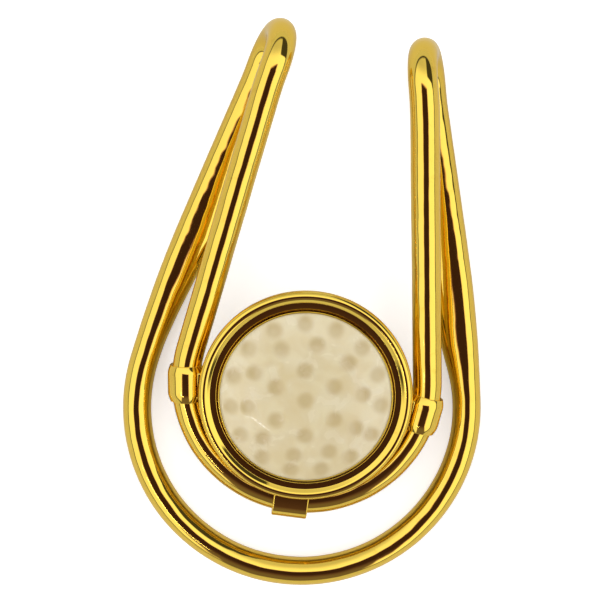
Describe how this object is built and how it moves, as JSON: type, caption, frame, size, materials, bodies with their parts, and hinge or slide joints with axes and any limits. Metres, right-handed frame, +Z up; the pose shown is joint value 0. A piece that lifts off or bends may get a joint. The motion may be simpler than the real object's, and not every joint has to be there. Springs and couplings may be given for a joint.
{
  "type": "ball marker clip",
  "caption": "Sprung double-loop wire clip with a round cup that holds a domed, dimpled golf ball marker on a magnet.",
  "frame": {"origin": "centre of the clip's plan at the surface it lies on", "axes": "+Y towards the two bent tips, +X across the loops, +Z up out of the marker's face side"},
  "size_m": [0.0406, 0.0628, 0.0106],
  "materials": {
    "gold_wire": "polished gold plate",
    "gold_cup": "polished gold plate",
    "gold_tray": "polished gold plate",
    "pearl_face": "glossy cream pearl resin",
    "magnet_plate": "nickel plated",
    "clear_glue": "cured epoxy"
  },
  "bodies": {
    "back_frame": {"back_loop": "gold_wire", "left_spring_bend": "gold_wire", "right_spring_bend": "gold_wire"},
    "front_frame": {"left_front_wire": "gold_wire", "right_front_wire": "gold_wire", "left_collar": "gold_cup", "right_collar": "gold_cup", "bottom_collar": "gold_cup", "cup_body": "gold_cup", "bezel_ring": "gold_cup", "magnet": "magnet_plate", "magnet_glue": "clear_glue"},
    "marker": {"marker_tray": "gold_tray", "marker_glue": "clear_glue", "marker_face": "pearl_face"}
  },
  "joints": [
    {"name": "clip_flex", "type": "hinge", "parent": "back_frame", "child": "front_frame", "pos_m": [0, 0.02613, 0.00531], "axis": [-1, 0, 0], "range_deg": [0, 7], "stiffness_Nm_per_rad": 4.5, "deforming": ["left_spring_bend", "right_spring_bend"]},
    {"name": "marker_lift", "type": "slide", "parent": "front_frame", "child": "marker", "axis": [0, -0.115, 0.9934], "range_m": [0, 0.012]}
  ]
}
